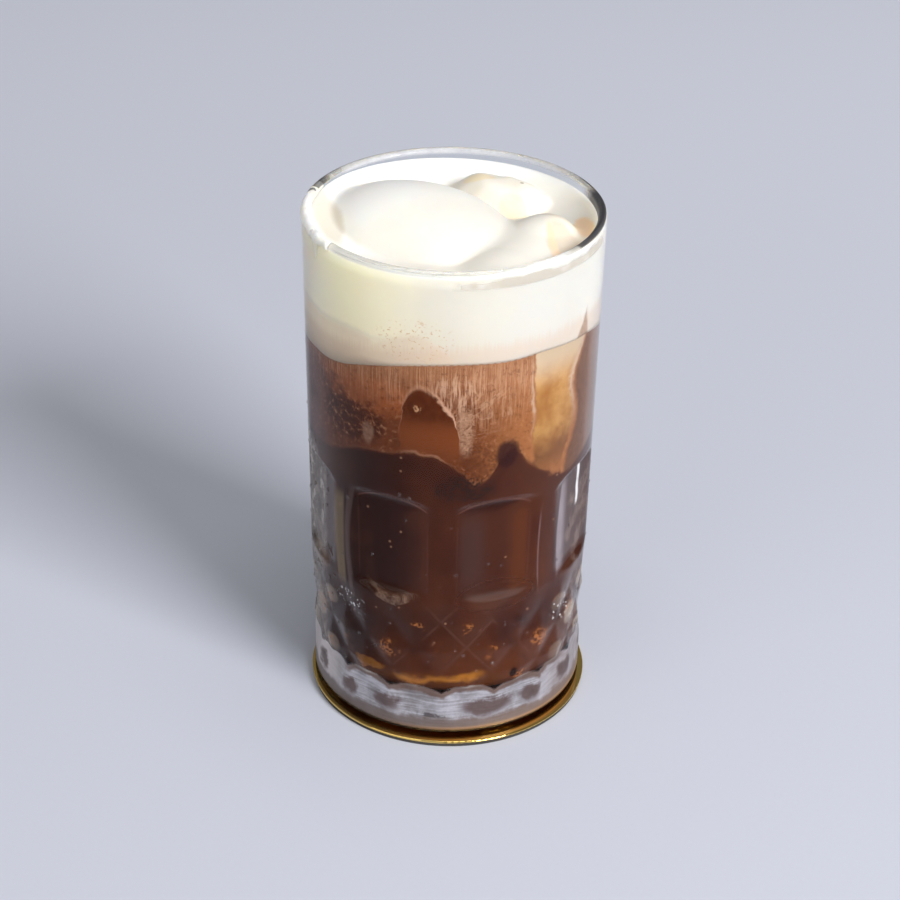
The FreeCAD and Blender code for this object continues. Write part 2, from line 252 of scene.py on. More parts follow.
def diamond_depth(angle, height):
    """Depth of the grooves between diamonds, fading out over the first and the last row."""
    column = angle / 11.25
    row = (height - BAND_LOW) / BAND_ROW
    if not 0 < row < BAND_ROWS + 1:
        return 0.0
    fade = min(row, BAND_ROWS + 1 - row, 1.0)
    row = min(max(row, 1.0), float(BAND_ROWS))
    first = abs((column + row) % 2 - 1)
    second = abs((column - row) % 2 - 1)
    across = max(first, second)
    soft = 0.16
    rounded = 1 - math.sqrt((1 - across) ** 2 + soft**2) + soft * 0.6
    return BAND_CUT * fade * rounded


def pressed_radius(angle, height):
    """Outside radius in mm, at degrees from +X and a height above the foot."""
    angle -= PATTERN_TURN
    flutes = flute_depth(angle, height)
    depth = soft_more(flutes, diamond_depth(angle, height), 0.45)
    return wall_radius(height) - max(depth - 0.1, 0.0)


def spun(profile, steps):
    """Turns a section, given as (radius, height) in mm above the foot, about the axis."""
    made = bmesh.new()
    points = [made.verts.new((r / 1000, 0, (z + LIFT) / 1000)) for r, z in profile]
    lines = [made.edges.new(pair) for pair in zip(points, points[1:])]
    bmesh.ops.spin(
        made,
        geom=points + lines,
        cent=(0, 0, 0),
        axis=(0, 0, 1),
        angle=2 * math.pi,
        steps=steps,
        use_merge=True,
    )
    bmesh.ops.remove_doubles(made, verts=made.verts, dist=1e-6)
    return made


def finish(made, name, replaced=(), material=None, smooth=True):
    """Turns a bmesh into a piece that rides on the drink and takes a finish."""
    bmesh.ops.recalc_face_normals(made, faces=made.faces)
    mesh = bpy.data.meshes.new(name)
    made.to_mesh(mesh)
    made.free()
    mesh.shade_smooth() if smooth else mesh.shade_flat()
    piece = bpy.data.objects.new(name, mesh)
    bpy.context.scene.collection.objects.link(piece)
    mesh.materials.append(material)
    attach(piece, "root")
    if replaced:
        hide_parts(*replaced)
    return piece


def arc(centre, radius, start, end, count):
    """Points of an arc in the section, with angles in degrees from +r towards +z."""
    steps = [math.radians(start + (end - start) * i / count) for i in range(count + 1)]
    return [(centre[0] + radius * math.cos(t), centre[1] + radius * math.sin(t)) for t in steps]


def glass_section():
    """The tumbler's section, from the hollow under the foot round the rim to its floor."""
    heights = [2.0 + 0.42 * i for i in range(180)]
    plain = [z for z in (82, 90, 100, 110, 120, 130, 137) if z > heights[-1] + 1]
    edge = 1.15
    section = [(0.0, 0.8), (15.0, 0.7), (29.0, 0.25), (31.5, 0.0), (36.2, 0.0)]
    section += arc((36.6, 1.8), 1.8, -80, -5, 7)
    section += [(wall_radius(z), z) for z in heights + plain]
    section += arc((RIM_RADIUS - edge, HEIGHT - edge), edge, 0, 90, 6)
    section += arc((BORE_RIM + edge, HEIGHT - edge), edge, 90, 180, 6)
    section += [(bore_radius(z), z) for z in (137, 120, 100, 80, 60, 40, 25)]
    section += [(bore_radius(FLOOR + h), FLOOR + h) for h in (7, 5.5, 4, 2.8, 1.8, 1, 0.4, 0)]
    section += [(24.0, FLOOR), (12.0, FLOOR), (0.0, FLOOR)]
    return section


made = spun(glass_section(), GLASS_COLUMNS)
for vertex in made.verts:
    radius = math.hypot(vertex.co.x, vertex.co.y) * 1000
    height = vertex.co.z * 1000 - LIFT
    if 1.9 < height < 80 and radius > wall_radius(height) - 0.01:
        angle = math.degrees(math.atan2(vertex.co.y, vertex.co.x))
        share = pressed_radius(angle, height) / radius
        vertex.co.x *= share
        vertex.co.y *= share

def around(tree):
    """Object position, degrees round the glass from -Y towards +X, and mm above the foot."""
    where = position(tree)
    apart = add_node(tree, "ShaderNodeSeparateXYZ", {}, {0: where}).socket.node.outputs
    across, along, up = (Flow(tree, apart[i]) for i in range(3))
    degrees = across.math("ARCTAN2", along * -1) * (180 / math.pi)
    return where, degrees, up * 1000 - LIFT


def every(angle, pitch, first):
    """Degrees to the nearest of evenly spaced places, the first one at the given angle."""
    return (angle - first).math("WRAP", pitch / 2, -pitch / 2)


def spot(angle, height, middle, low, wide, tall, soft=0.5):
    """1 in an oval patch on the wall, fading out at its edge."""
    u, v = (angle - middle) / wide, (height - low) / tall
    return (u * u + v * v).rise(1 + soft, 1 - soft)


def stretched(tree, angle, height, wide, tall, detail=3.0, rough=0.6):
    """Noise drawn out along the wall: wide in patches a degree, tall in patches a mm."""
    cells = add_node(
        tree, "ShaderNodeCombineXYZ", {}, {0: angle * wide, 1: height * tall, 2: 0.0}
    )
    return grain(tree, cells, 1.0, detail, rough)


def strongest(*masks):
    """The greatest of several masks at each point."""
    greatest = masks[0]
    for mask in masks[1:]:
        greatest = greatest.math("MAXIMUM", mask)
    return greatest


def layered(colour, *coats):
    """Lays coats over a colour in turn, each given as its mask and its own colour."""
    for mask, coat in coats:
        colour = blend(mask, colour, coat)
    return colour


tree, close = new_material("pressed_glass")
where, angle, height = around(tree)
aside = angle.math("ABSOLUTE")
cloudy = grain(tree, where, 160.0, 4.0, 0.65)
lumpy = grain(tree, where, 70.0, 3.0, 0.6)
streaks = stretched(tree, angle, height, 0.05, 1.5, 3.0, 0.65)

# Frost whitens the foot up to a scalloped edge, with dark brown ovals painted over it; the heel
# under it is painted brownish, with a painted reflection of the coaster's warmth along its bottom.
# Places are in degrees and mm above the foot.
PITCH = 22.5
FROST_TOP, SCALLOP, SCALLOP_AT, HEEL_TOP = 15.8, 1.6, -13.0, (6.2, 4.4)
DARK_OVALS = ((-67, 4.0), (-45, 5.0), (-26.5, 6.5), (19, 10.5), (39, 5.0), (60, 5.0))
OVAL_HEIGHT, OVAL_TALL, BACK_OVAL = 8.8, 2.7, (0, 8.6, 5.0, 2.4)
FROST_DULL, FROST_WHITE = (0.16, 0.145, 0.155), (0.44, 0.435, 0.49)
FROST_LEFT, FROST_RIGHT = (0.62, 0.56, 0.56), (0.25, 0.195, 0.19)
OVAL_DARK, OVAL_PALE = (0.030, 0.014, 0.012), (0.120, 0.066, 0.060)
HEEL_LEFT, HEEL_RIGHT = (0.105, 0.074, 0.066), (0.15, 0.096, 0.075)
HEEL_COASTER_REFLECTION, FROST_EDGE, DUST = (0.42, 0.24, 0.13), (0.095, 0.045, 0.027), (0.05, 0.04, 0.045)

crest = (every(angle, PITCH, SCALLOP_AT) / (PITCH / 2)) ** 2
frost_top = FROST_TOP - crest * SCALLOP + (lumpy - 0.5) * 4
foot_frost = (frost_top - height).rise(-0.4, 0.6) * height.rise(1.0, 2.4)
wavy_angle = angle + (lumpy - 0.5) * 16 + (cloudy - 0.5) * 8
wavy_height = height + (cloudy - 0.5) * 7 + (streaks - 0.5) * 2.5
dark_oval = spot(every(wavy_angle, PITCH, -4.0), wavy_height, *BACK_OVAL) * aside.rise(74, 82)
for middle, wide in DARK_OVALS:
    oval = spot(wavy_angle, wavy_height, middle, OVAL_HEIGHT, wide, OVAL_TALL, 0.7)
    dark_oval = strongest(dark_oval, oval)
powder = (streaks * 0.6 + cloudy * 0.7).rise(0.42, 0.92)
heel = (height + (cloudy - 0.5) * 3).rise(*HEEL_TOP)
browned = (frost_top - height + (cloudy - 0.5) * 2.5).rise(2.6, 1.4) * angle.band(-48, 60, 5)
dust = spot(angle, height, -6, 6.4, 10, 0.7) * cloudy.rise(0.5, 0.4)
rime_and_painted_light_colour = layered(
    blend(powder, FROST_DULL, FROST_WHITE),
    (angle.rise(-40, -66) * 0.8, FROST_LEFT),
    (angle.rise(34, 60) * 0.5, FROST_RIGHT),
    (dark_oval * 0.9, blend(cloudy, OVAL_DARK, OVAL_PALE)),
    (heel * 0.85, blend(angle.rise(-20, 35), HEEL_LEFT, HEEL_RIGHT)),
    (height.rise(2.9, 1.6) * angle.rise(-40, 15), HEEL_COASTER_REFLECTION),
    (browned * 0.85, FROST_EDGE),
    (dust * 0.8, DUST),
)

# The left flank is misted and painted pale with light seen through the wall; diamonds seen edge-on
# get painted beige highlights, a few spots get painted glints, and a painted highlight runs up at
# the right.
ROWS = (  # the diamonds' rows: first angle, height, half height
    (-24.5, 27.4, 3.4),
    (-13.25, 36.2, 3.0),
    (-13.25, 19.0, 2.6),
)
DIAMOND_WIDE, SLIP_AT = 4.4, 70.5
GLINTS = ((-44, 37.5, 9, 3.5), (56, 33, 7, 5))
MIST_AND_LIGHT_DULL, MIST_AND_LIGHT_PALE = (0.36, 0.32, 0.29), (0.66, 0.61, 0.58)
BEIGE_LIGHT, GLINT = (0.56, 0.46, 0.37), (0.85, 0.84, 0.86)

flank = angle.band(-115, -66, 3.5) * height.band(14, 81, 2)
flank_mist_and_light = flank * (0.22 + cloudy.rise(0.50, 0.66) * 0.55)
in_diamond = strongest(
    *(spot(every(angle, PITCH, at), height, 0, low, DIAMOND_WIDE, tall) for at, low, tall in ROWS)
)
facet_light = in_diamond * lumpy.rise(0.38, 0.58)
facet_light = facet_light * aside.rise(52, 72) * aside.rise(150, 110)
sparkle = strongest(*(spot(angle, height, *place) for place in GLINTS))
sparkle = sparkle * grain(tree, where, 900.0, 2.0, 0.6).rise(0.60, 0.66)
slip_highlight = (angle - SLIP_AT + (lumpy - 0.5) * 4).band(-1.3, 1.3, 1.0)
slip_highlight = slip_highlight * height.band(61, 76, 1.5)
over_foot = height.rise(15, 17)
rime_and_painted_light_colour = layered(
    rime_and_painted_light_colour,
    (over_foot, blend(cloudy, MIST_AND_LIGHT_DULL, MIST_AND_LIGHT_PALE)),
    (facet_light * over_foot, BEIGE_LIGHT),
    (strongest(sparkle, slip_highlight), GLINT),
)

# The lip: a beige film under it at the front right, a painted dark reflection inside it at the
# right, a painted dark reflection as a line at the far left, and painted greyish highlights along
# the rest.
LIP_BEIGE, LIP_PALE = (0.42, 0.36, 0.28), (0.62, 0.58, 0.52)
DARK_LIP_REFLECTION, FAR_LIP_REFLECTION = (0.030, 0.027, 0.032), (0.05, 0.045, 0.05)
BACK_LIP_HIGHLIGHT, FRONT_LIP_HIGHLIGHT = (0.66, 0.66, 0.68), (0.44, 0.42, 0.38)

apart = add_node(tree, "ShaderNodeSeparateXYZ", {}, {0: where}).socket.node.outputs
reach = (Flow(tree, apart[0]) ** 2 + Flow(tree, apart[1]) ** 2) ** 0.5 * 1000
lip = height.rise(138.6, 139.4) * angle.band(2, 74, 3) * (height + lumpy * 5).rise(144.2, 143.0)
dark_lip_reflection = angle.band(46, 110, 6) * height.rise(140.4, 141.4) * reach.rise(39.9, 39.6)
dark_lip_reflection = dark_lip_reflection * (streaks + cloudy * 0.5).rise(0.36, 0.54)
far_lip_reflection = aside.rise(128, 112) * angle.rise(-60, -80) * height.rise(142.6, 143.1)
back_lip_highlight = aside.rise(116, 132) * height.rise(141.8, 142.8) * (cloudy + 0.1)
front_lip_highlight = angle.band(-52, 50, 6) * height.rise(141.9, 142.7) * (0.3 + streaks * 0.7)
rime_and_painted_light_colour = layered(
    rime_and_painted_light_colour,
    (height.rise(130, 132), blend(lumpy.rise(0.4, 0.6), LIP_BEIGE, LIP_PALE)),
    (dark_lip_reflection, DARK_LIP_REFLECTION),
    (far_lip_reflection, FAR_LIP_REFLECTION),
    (back_lip_highlight.rise(0.0, 0.1), BACK_LIP_HIGHLIGHT),
    (front_lip_highlight.rise(0.0, 0.1), FRONT_LIP_HIGHLIGHT),
)

# Where there is frost, mist or film, or a painted highlight, reflection or glint, the wall turns
# matt; a flute's end at the right is hazed.
HAZED_END = (20, 45.5, 17, 4.5, 0.6)
CLEAR_TINT, SHEEN_TINT, SHADOW_TINT = (0.90, 0.915, 0.92), (0.2, 0.2, 0.2, 1.0), (0.80, 0.81, 0.82)
frost_and_painted_light = strongest(
    foot_frost * 0.93,
    flank_mist_and_light * 0.8,
    facet_light * 0.75,
    sparkle * 0.8,
    slip_highlight * 0.8,
    lip * 0.55,
    dark_lip_reflection * 0.95,
    far_lip_reflection * 0.7,
    back_lip_highlight * 0.8,
    front_lip_highlight * 0.6,
)
clear = surface(
    tree,
    Base_Color=CLEAR_TINT,
    Roughness=spot(angle, height, *HAZED_END) * 0.45 + 0.01,
    IOR=1.5,
    Specular_Tint=SHEEN_TINT,
    Transmission_Weight=1.0,
)
rime_and_painted_light = surface(
    tree,
    Base_Color=rime_and_painted_light_colour,
    Roughness=0.4,
    Normal=bump(tree, cloudy, 0.0005, 0.6),
)
misted_and_painted = add_node(tree, "ShaderNodeMixShader", {}, {0: frost_and_painted_light, 1: clear, 2: rime_and_painted_light})
lamp_ray = add_node(tree, "ShaderNodeLightPath", out="Is Shadow Ray")
through = add_node(tree, "ShaderNodeBsdfTransparent", {}, {0: SHADOW_TINT})
lit_through = {0: lamp_ray, 1: misted_and_painted, 2: through}
pressed_glass = close(add_node(tree, "ShaderNodeMixShader", {}, lit_through))
finish(made, "pressed_tumbler", ["glass"], pressed_glass)


# The drink: dark root beer below, clouded by cream that sinks into it from the head. It fills the
# glass, so its surface lies just inside the wall and no air shows between them.
INTO_WALL = 0.35
DRINK_CORNER = 3.5


def head_underside(x, y):
    """Height above the foot at which the cream head starts, at x, y in mm."""
    angle = math.radians(24.0)
    lie = (x * math.sin(angle) - y * math.cos(angle)) / BORE_RIM
    share = min(max((lie - 0.1) / 0.9, 0.0), 1.0)
    wave = noise.noise(Vector((x * 0.08, y * 0.08, 3.0)))
    return 109.8 + 7.5 * share * share * (3 - 2 * share) + 4.5 * min(lie, 0.0) + 0.6 * wave


def drink_radius(height):
    """Radius of the drink's side; its lower corner is tighter than the bore's."""
    plain = BORE_FLOOR + (BORE_RIM - BORE_FLOOR) * (height - FLOOR) / (HEIGHT - FLOOR)
    below = max(FLOOR + DRINK_CORNER - height, 0.0)
    return plain + INTO_WALL - DRINK_CORNER + math.sqrt(DRINK_CORNER**2 - below**2)


column = [(0.0, FLOOR - 0.3), (16.0, FLOOR - 0.3)]
column += [(drink_radius(FLOOR + h), FLOOR + h - 0.3) for h in (0, 0.2, 0.6, 1.2, 2.0, 2.8, 3.5)]
column += [(drink_radius(z), z) for z in range(19, 105, 5)]
made = spun([*column, (drink_radius(110), 110), (20, 110), (0, 110)], 128)
for vertex in made.verts:
    if vertex.co.z * 1000 - LIFT > 109:
        x, y = vertex.co.x * 1000, vertex.co.y * 1000
        top = head_underside(x, y)
        grow = drink_radius(top) / drink_radius(110)
        vertex.co = Vector((x * grow, y * grow, top + LIFT)) / 1000

tree, close = new_material("root_beer")
where, round_angle, height = around(tree)
drift = grain(tree, where, 150.0, 5.0, 0.65) - 0.5
slow = grain(tree, where, 45.0, 3.0, 0.55) - 0.5
fine = grain(tree, where, 700.0, 3.0, 0.75)
foam = grain(tree, where, 1500.0, 2.0, 0.6)
# The wall bends the view, so a mark is seen a twentieth nearer the middle and a little higher up.
DRAWN_IN, RAISED = 0.95, 2.2
seen = round_angle * DRAWN_IN
height = height + RAISED
angle = seen + drift * 5 + slow * 2.5
level = height + drift * 4.5 + slow * 2.5


def outline_of(angle, stops):
    """A height that follows the given (degrees, mm) places round the glass."""
    spread = [((a + 180) / 360, z / 150) for a, z in stops]
    share = (angle + 180) / 360
    curve = share.node("ShaderNodeValToRGB", {"stops": spread, "ramp": "B_SPLINE"}, {0: share})
    return curve * 150


# Dark below: nearly black at the left, rust-red at the right and towards the floor.
BLACK_LEFT, BROWN_RIGHT = (0.022, 0.0042, 0.0018), (0.047, 0.0120, 0.0064)
RUST_LOW, RUST_CLOUD = (0.080, 0.0215, 0.0085), (0.078, 0.022, 0.0085)
DIM_MIDDLE, DIM_LOW = (0.018, 0.0036, 0.0018), (0.03, 0.007, 0.004)
dark = layered(
    blend(angle.rise(-48, 24), BLACK_LEFT, BROWN_RIGHT),
    (height.rise(35, 21) * angle.rise(-46, 2), RUST_LOW),
    (spot(angle, level, -6, 37.5, 17, 4.5, 0.7) * 0.6, DIM_MIDDLE),
    ((slow + 0.5).rise(0.36, 0.66) * 0.5, RUST_CLOUD),
    (height.rise(42, 36) * (drift + slow).rise(0.02, -0.2) * 0.6, DIM_LOW),
)

# Behind each flute, painted streaks of light and shade and a painted grey sheen stand upright,
# under a painted highlight along the arch and down the sides.
ARCH_TOP, ARCH_FALL, SILL, SILL_RISE, FLUTE_HALF = 77.8, 3.6, 44.0, 3.4, 16.5
FLUTE_EDGE, MM_A_DEGREE = 16.8, 0.68
FLUTE_LIGHT_TONES = (  # degrees, tone in hundredths: low is dark, high is light
    [(-180, 60), (-60, 60), (-45, 40), (-40, 70), (-36, 62), (-31, 18), (-19, 12), (-14, 62)]
    + [(-9, 82), (-2, 76), (4, 62), (12, 50), (20, 44), (25, 66), (30, 118), (33, 112)]
    + [(36, 60), (38, 66), (43, 112), (46, 60), (60, 60), (180, 60)]
)
FLUTE_PAINTED_SHADE, FLUTE_PAINTED_LIGHT = (0.020, 0.0036, 0.0015), (0.085, 0.0225, 0.0080)
GREY_SHEEN, FLUTE_EDGE_HIGHLIGHT = (0.060, 0.028, 0.024), (0.16, 0.065, 0.050)
off_flute = every(round_angle, 45.0, PATTERN_TURN)
arch = ARCH_TOP - (off_flute / FLUTE_HALF) ** 2 * ARCH_FALL
sill = SILL + (off_flute / FLUTE_HALF) ** 2 * SILL_RISE
inwards = (FLUTE_EDGE - off_flute.math("ABSOLUTE")) * MM_A_DEGREE
inset = inwards.math("MINIMUM", arch - height).math("MINIMUM", height - sill)
behind_flute = inset.rise(-0.2, 1.6)
upright_noise = stretched(tree, round_angle, height, 0.17, 0.012, 2.0)
flute_light_tone = outline_of(seen + drift * 2, FLUTE_LIGHT_TONES)
flute_light_tone = (flute_light_tone / 100 + (upright_noise - 0.5) * 0.5) * height.band(40, 74, 4)
upright = strongest(behind_flute, height.band(44, 70, 6) * 0.5)
sheen = seen.band(4, 14, 4) * height.band(50, 72, 6) * behind_flute
arch_highlight = (arch - height).band(-0.35, 0.25, 0.35) * inwards.rise(-0.4, 0.6)
side_highlight = inwards.band(-0.2, 0.15, 0.3) * height.band(48, 72, 4)
dark = layered(
    dark,
    (upright * flute_light_tone.rise(0.45, 0.1) * 0.9, FLUTE_PAINTED_SHADE),
    (upright * flute_light_tone.rise(0.6, 1.15) * 0.9, FLUTE_PAINTED_LIGHT),
    (sheen * 0.6, GREY_SHEEN),
    (arch_highlight * (0.35 + fine * 0.4) + side_highlight * 0.16, FLUTE_EDGE_HIGHLIGHT),
)

# A painted crescent of light lies at the flutes' lower ends, brightest at the left.
CRESCENT_AT, CRESCENT_HIGHLIGHT = 42.8, (0.25, 0.150, 0.105)
sink = CRESCENT_AT + (off_flute / 11) ** 2 * 3.0 - height
crescent_highlight = sink.rise(-3.4, -0.3) * sink.rise(0.5, -0.2) * off_flute.band(-11, 9, 3)
crescent_highlight = crescent_highlight * (seen.rise(2, -12) * 0.85 + 0.12) * (foam * 1.6 + fine - 0.9)

# Painted reflections seen edge-on: an olive sliver and a mauve stripe at the left, a pale lens at
# the right.
OLIVE_LEFT, MAUVE_LEFT = 49.6, 45.3
PALE_LINE_AT, RED_LINE_AT, LENS_FROM, LENS_TO = 39.2, 47.4, 48.6, 55.5
OLIVE_REFLECTION_DARK, OLIVE_REFLECTION_PALE, MAUVE_REFLECTION = (0.075, 0.040, 0.020), (0.21, 0.145, 0.080), (0.105, 0.062, 0.058)
RED_EDGE_SHADE, PALE_LINE_HIGHLIGHT = (0.03, 0.004, 0.003), (0.20, 0.12, 0.12)
LENS_REFLECTION_DARK, LENS_REFLECTION_PALE = (0.15, 0.105, 0.110), (0.30, 0.255, 0.290)
SIDE_SPECKLE, FLANK_PALE_REFLECTION = (0.19, 0.125, 0.105), (0.34, 0.27, 0.235)
bow = ((height - 58) / 16) ** 2
olive_reflection = (seen + OLIVE_LEFT - bow).band(-2.6, 2.4, 0.8) * height.band(44, 72, 2.5)
mauve_reflection = (seen + MAUVE_LEFT - bow * 2.4).band(-1.2, 1.0, 0.7) * height.band(42, 75, 3)
# Along the flute edges a painted dark shade line and a painted pale highlight line; the right flank
# is speckled and the left flank has a painted pale reflection.
red_edge_shade = (seen - RED_LINE_AT - bow * 2).band(-0.3, 0.3, 0.4) * height.band(44, 74, 3)
lens_reflection = (seen - LENS_FROM - bow * 2.6).rise(-0.4, 0.6) * (seen - LENS_TO).rise(3.5, -3.5)
lens_reflection = lens_reflection * height.band(46, 74.5, 1.2)
pale_line_highlight = (seen - PALE_LINE_AT - bow).band(-0.25, 0.2, 0.3) * height.band(46, 69, 4)
speckled = seen.band(57, 84, 3) * height.band(16, 74, 3)
flank = seen.rise(-60, -66) * height.band(12, 78, 3)
dark = layered(
    dark,
    (crescent_highlight, CRESCENT_HIGHLIGHT),
    (olive_reflection, blend(upright_noise, OLIVE_REFLECTION_DARK, OLIVE_REFLECTION_PALE)),
    (mauve_reflection * 0.8, MAUVE_REFLECTION),
    (red_edge_shade, RED_EDGE_SHADE),
    (lens_reflection * 0.95, blend(drift + 0.5, LENS_REFLECTION_DARK, LENS_REFLECTION_PALE)),
    (pale_line_highlight * 0.6, PALE_LINE_HIGHLIGHT),
    (speckled * drift.rise(-0.05, 0.2) * 0.8, SIDE_SPECKLE),
    (flank * drift.rise(-0.1, 0.16) * 0.75, FLANK_PALE_REFLECTION),
)

# The lowest drink is painted glowing amber, as painted light coming through the floor; painted
# highlight lines follow the diamonds' ridges across it.
UNDER_DARK, UNDER_PALE = (0.045, 0.012, 0.004), (0.150, 0.047, 0.014)
GLOW_DEEP, GLOW_BRIGHT = (0.22, 0.070, 0.010), (0.42, 0.170, 0.026)
LOWEST, RIDGE_HIGHLIGHT = (0.040, 0.012, 0.006), (0.100, 0.040, 0.026)
under = angle.band(-40, 26, 6) * level.rise(21.5, 18.5)
glow = angle.band(-21, 15, 4) * (level - slow * 9 - angle * 0.03).band(18.4, 19.8, 0.9)
glow = strongest(glow, spot(angle, level, -35, 20.0, 7, 1.0) * 0.6)
slant = (round_angle - PATTERN_TURN) / (PITCH / 2)
climb = (height - RAISED - BAND_LOW) / BAND_ROW
ways = (slant + climb, slant - climb)
ridge_highlight = strongest(*(way.math("WRAP", 1, -1).math("ABSOLUTE").rise(0.13, 0.02) for way in ways))
ridge_highlight = ridge_highlight * height.band(20, 43, 3) * (drift + slow).rise(-0.06, 0.12)
dark = layered(
    dark,
    (under * 0.75, blend(drift + 0.5, UNDER_DARK, UNDER_PALE)),
    (glow * (0.55 + fine * 0.9), blend(drift + 0.5, GLOW_DEEP, GLOW_BRIGHT)),
    (height.rise(15.6, 14.6) * 0.5, LOWEST),
    (ridge_highlight * 0.5, RIDGE_HIGHLIGHT),
)

# Diamonds seen edge-on get painted pale reflections; painted orange glints, painted shade in the
# facets, a dark hole and tiny bubbles dot the rest.
DEEP_ROWS = ((-24.5, 27.4, 3.0), (-13.25, 35.6, 2.6), (-13.25, 18.8, 2.2))
DEEP_WIDE, DARK_HOLE = 4.2, (30.5, 18.6, 1.7, 1.2)
FACET_REFLECTION_DARK, FACET_REFLECTION_PALE, EMBER_GLINT = (0.12, 0.08, 0.062), (0.48, 0.39, 0.32), (0.36, 0.125, 0.035)
FACET_SHADE, HOLE, TINY_BUBBLE = (0.018, 0.004, 0.002), (0.014, 0.004, 0.002), (0.30, 0.15, 0.09)
in_diamond = strongest(
    *(spot(every(seen, PITCH, at), height, 0, low, DEEP_WIDE, tall) for at, low, tall in DEEP_ROWS)
)
edgeways = seen.math("ABSOLUTE").rise(44, 66)
ember_glint = in_diamond * drift.rise(0.05, 0.13) * foam.rise(0.45, 0.6)
speck = add_node(tree, "ShaderNodeTexVoronoi", {}, {"Vector": where, "Scale": 330.0})
chosen = Flow(tree, speck.socket.node.outputs["Color"])
picked = add_node(tree, "ShaderNodeSeparateColor", {}, {0: chosen})
tiny_bubble = speck.rise(0.16, 0.09) * picked.rise(0.80, 0.84)
dark = layered(
    dark,
    (in_diamond * edgeways * 0.75, blend(drift + 0.5, FACET_REFLECTION_DARK, FACET_REFLECTION_PALE)),
    (ember_glint * 0.8, EMBER_GLINT),
    (in_diamond * drift.rise(-0.04, -0.14) * 0.55, FACET_SHADE),
    (spot(angle, height, *DARK_HOLE), HOLE),
    (tiny_bubble * height.rise(20, 40) * 0.65, TINY_BUBBLE),
)

# Cream-clouded above: its lower edge winds round the glass, and strokes run down from the head.
CLOUD_EDGE = (
    [(-180, 86), (-100, 84), (-62, 84), (-50, 86), (-40, 88.5), (-30, 90), (-20, 91), (-12, 92)]
    + [(-6, 91), (-2, 90), (2, 87), (6, 84.5), (10, 83), (14, 83.5), (17, 86), (19.5, 90)]
    + [(23, 92.5), (26.5, 92), (29, 89.5), (32, 86.5), (36, 84), (42, 81), (48, 79), (56, 78)]
    + [(70, 82), (100, 86), (180, 86)]
)
# Patches of it: middle angle and height, half width, half height, softness.
RUST_PATCH, PITTED, LOBE = (-34, 107, 22, 6, 0.6), (-42, 97.5, 15, 6, 0.5), (11, 89, 8, 7, 0.5)
MILK, STREAKS, WISPS = (16, 110, 17, 10, 0.6), (1, 110, 8, 6, 0.5), (9, 106, 16, 8, 0.5)
DRIP, SMUDGE = (6.2, 99.5, 3.2, 7.0, 0.7), (-33.5, 95, 2.2, 3.2, 0.7)
TAN_LEFT, TAN_RIGHT, RUST, MAUVE_GREY = (
    (0.112, 0.029, 0.0085),
    (0.280, 0.108, 0.038),
    (0.275, 0.078, 0.024),
    (0.120, 0.044, 0.040),
)
TAN_DIM, PIT_DARK, PIT_PALE = (0.062, 0.0145, 0.0045), (0.040, 0.0080, 0.0025), (0.34, 0.18, 0.11)
HATCH_DARK, HATCH_PALE, HATCH_LIT = (0.170, 0.058, 0.021), (0.34, 0.165, 0.088), (0.42, 0.24, 0.15)
MILKY, STREAKY, WISPY = (0.40, 0.22, 0.13), (0.46, 0.29, 0.20), (0.52, 0.33, 0.22)
DRIP_PALE, SMUDGE_PALE = (0.48, 0.30, 0.195), (0.38, 0.22, 0.15)
GRAIN_PALE, GRAIN_DARK = (0.42, 0.20, 0.105), (0.075, 0.019, 0.006)
LOBE_DARK = (0.060, 0.018, 0.008)

over_edge = level - outline_of(angle, CLOUD_EDGE)
clouded = over_edge.rise(-0.7, 1.2)
strokes = stretched(tree, round_angle + slow * 6, height, 0.95, 0.10, 4.0)
hatch = stretched(tree, round_angle + drift * 1.5, height, 2.6, 0.05, 2.0)
marble = grain(tree, where, 95.0, 4.0, 0.6, 1.6)
wisp = (marble - 0.5).math("ABSOLUTE").rise(0.030, 0.004)
pitted = spot(angle, level, *PITTED)
near_head = (height + strokes * 15 + slow * 14).rise(111, 126)
lit_hatch = hatch.rise(0.48, 0.66) * (height + strokes * 8).rise(106, 118)
milk = spot(angle, level, *MILK) * strokes.rise(0.42, 0.62)
streaky = spot(angle, level, *STREAKS) * strokes.rise(0.46, 0.58)
drip = spot(angle, level, *DRIP) * (fine * 1.6 - 0.2)
tan = layered(
    blend(angle.rise(2, 34), TAN_LEFT, TAN_RIGHT),
    (spot(angle, level, *RUST_PATCH) * 0.75, RUST),
    (angle.rise(-56, -68) * 0.9, MAUVE_GREY),
    (drift.rise(0.03, -0.16) * angle.rise(20, -16) * 0.7, TAN_DIM),
    (pitted * fine.rise(0.62, 0.44) * 0.85, PIT_DARK),
    (pitted * fine.rise(0.60, 0.70) * 0.6, PIT_PALE),
    (near_head * 0.9, blend(hatch, HATCH_DARK, HATCH_PALE)),
    (lit_hatch * 0.5, HATCH_LIT),
    (milk * 0.45, MILKY),
    (streaky * 0.55, STREAKY),
    (wisp * spot(angle, level, *WISPS) * 0.28, WISPY),
    (drip * 0.7, DRIP_PALE),
    (spot(angle, level, *SMUDGE) * 0.4, SMUDGE_PALE),
    (fine.rise(0.52, 0.72) * 0.35, GRAIN_PALE),
    (fine.rise(0.46, 0.30) * 0.5, GRAIN_DARK),
    (spot(angle, level, *LOBE) * foam.rise(0.55, 0.45) * 0.6, LOBE_DARK),
)

